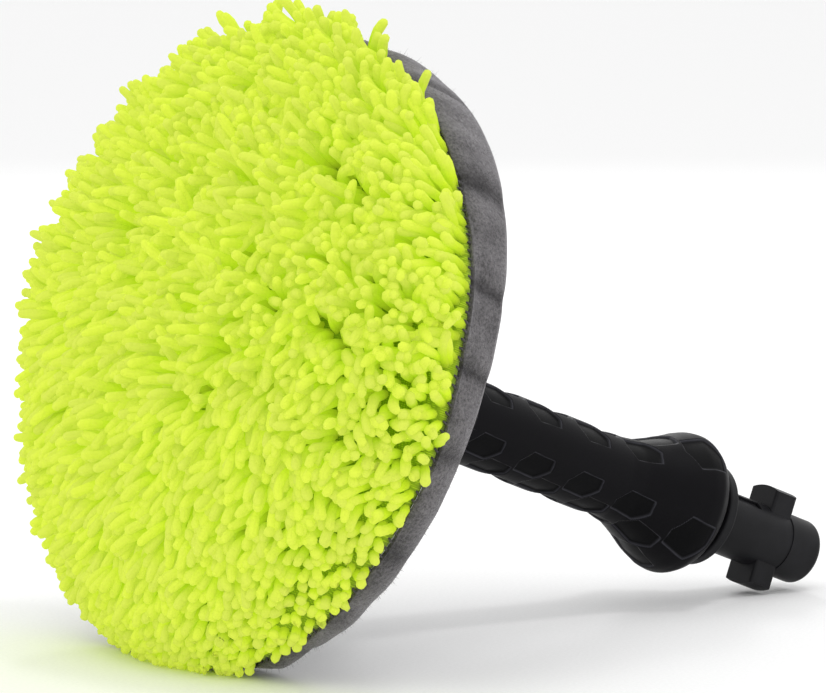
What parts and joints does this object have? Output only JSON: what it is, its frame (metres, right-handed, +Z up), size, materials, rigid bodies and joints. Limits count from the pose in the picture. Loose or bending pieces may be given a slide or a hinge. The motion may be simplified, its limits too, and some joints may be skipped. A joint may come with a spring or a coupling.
{
  "type": "rotary wash brush",
  "caption": "Round chenille mop head with a plush side band, turned by a water turbine, on a short honeycomb rubber grip with a twist-lock bayonet plug.",
  "frame": {"origin": "middle of the brush's box on the floor it lies on", "axes": "+X from the mop face towards the plug along the floor, +Z up; the spin axis leans down towards the plug"},
  "size_m": [0.2748, 0.2062, 0.1953],
  "materials": {
    "chenille": "looped microfibre chenille",
    "base_cloth": "knitted",
    "plush": "short plush pile",
    "hem_elastic": "woven elastic",
    "foam": "open-cell foam",
    "black_abs": "moulded, fine grain",
    "black_nylon": "moulded, satin",
    "grip_rubber": "moulded, satin",
    "acetal": "moulded, satin",
    "grey_nylon": "moulded, matt",
    "sintered_bronze": "sintered",
    "stainless_steel": "turned",
    "seal_rubber": "smooth"
  },
  "bodies": {
    "handle": {"bayonet_adapter": "black_nylon", "adapter_seal": "seal_rubber", "grip_core": "grey_nylon", "grip_sleeve": "grip_rubber", "water_tube": "grey_nylon", "tube_seal": "seal_rubber", "gear_housing": "black_abs", "neck_screws": "stainless_steel", "nozzle_body": "grey_nylon", "rear_shaft_bush": "sintered_bronze", "partition_plate": "grey_nylon", "bearing_plate": "grey_nylon", "gearbox_screws": "stainless_steel", "idler_pins": "stainless_steel", "front_shaft_bush": "sintered_bronze", "retaining_screw": "stainless_steel", "retaining_washer": "stainless_steel", "lip_seal": "seal_rubber"},
    "mop_head": {"brush_plate": "black_abs", "ring_gear": "acetal", "ring_gear_screws": "stainless_steel", "hub_bush": "acetal", "foam_pad": "foam", "bonnet_backing": "base_cloth", "chenille_pile": "chenille", "side_band": "plush", "elastic_hem": "hem_elastic"},
    "turbine": {"turbine_wheel": "acetal", "turbine_shaft": "stainless_steel", "sun_pinion": "acetal"},
    "idler_1": {"idler_gear_1": "acetal"},
    "idler_2": {"idler_gear_2": "acetal"},
    "idler_3": {"idler_gear_3": "acetal"}
  },
  "joints": [
    {"name": "head_spin", "type": "hinge", "parent": "handle", "child": "mop_head", "pos_m": [-0.07062, 0, 0.09165], "axis": [0.9308, 0, -0.3656], "continuous": true},
    {"name": "turbine_spin", "type": "hinge", "parent": "handle", "child": "turbine", "pos_m": [-0.04829, 0, 0.08288], "axis": [0.9308, 0, -0.3656], "continuous": true},
    {"name": "idler_1_spin", "type": "hinge", "parent": "handle", "child": "idler_1", "pos_m": [-0.05178, 0, 0.10681], "axis": [0.9308, 0, -0.3656], "continuous": true},
    {"name": "idler_2_spin", "type": "hinge", "parent": "handle", "child": "idler_2", "pos_m": [-0.06329, -0.01819, 0.07749], "axis": [0.9308, 0, -0.3656], "continuous": true},
    {"name": "idler_3_spin", "type": "hinge", "parent": "handle", "child": "idler_3", "pos_m": [-0.06329, 0.01819, 0.07749], "axis": [0.9308, 0, -0.3656], "continuous": true}
  ],
  "couplings": [
    {"joint": "turbine_spin", "follows": "head_spin", "ratio": -11.25},
    {"joint": "idler_1_spin", "follows": "head_spin", "ratio": 4.5},
    {"joint": "idler_2_spin", "follows": "head_spin", "ratio": 4.5},
    {"joint": "idler_3_spin", "follows": "head_spin", "ratio": 4.5}
  ]
}
